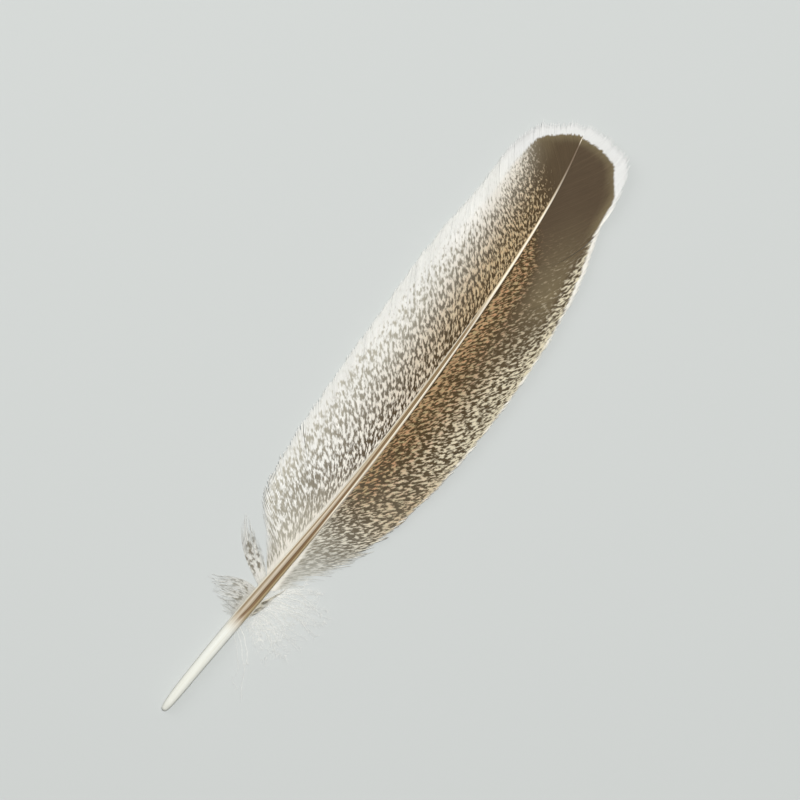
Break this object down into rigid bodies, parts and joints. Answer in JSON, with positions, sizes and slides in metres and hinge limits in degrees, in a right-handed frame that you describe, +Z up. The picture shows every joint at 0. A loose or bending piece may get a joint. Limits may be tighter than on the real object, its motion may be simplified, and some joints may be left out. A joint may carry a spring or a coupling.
{
  "type": "wing feather with quill",
  "caption": "Large mottled brown and white wing feather with a bare pale quill, broad rounded tip, split tufts and loose down at the base.",
  "frame": {"origin": "middle of the feather's footprint, on the surface it lies on", "axes": "+Y along the feather from the end of the quill to the tip, +X towards the outer vane, +Z up, out of the under side of the feather, which faces up"},
  "size_m": [0.0696, 0.3262, 0.0066],
  "materials": {
    "quill_horn": "satin",
    "pale_barbs": "matte",
    "dark_barbs": "matte",
    "down_fibre": "matte"
  },
  "bodies": {
    "root": {"quill_shaft": "quill_horn", "inner_vane": "pale_barbs", "outer_vane": "dark_barbs", "upper_tuft": "pale_barbs", "lower_tuft": "pale_barbs", "outer_tuft": "dark_barbs", "basal_down": "down_fibre", "loose_threads": "down_fibre"}
  },
  "joints": []
}
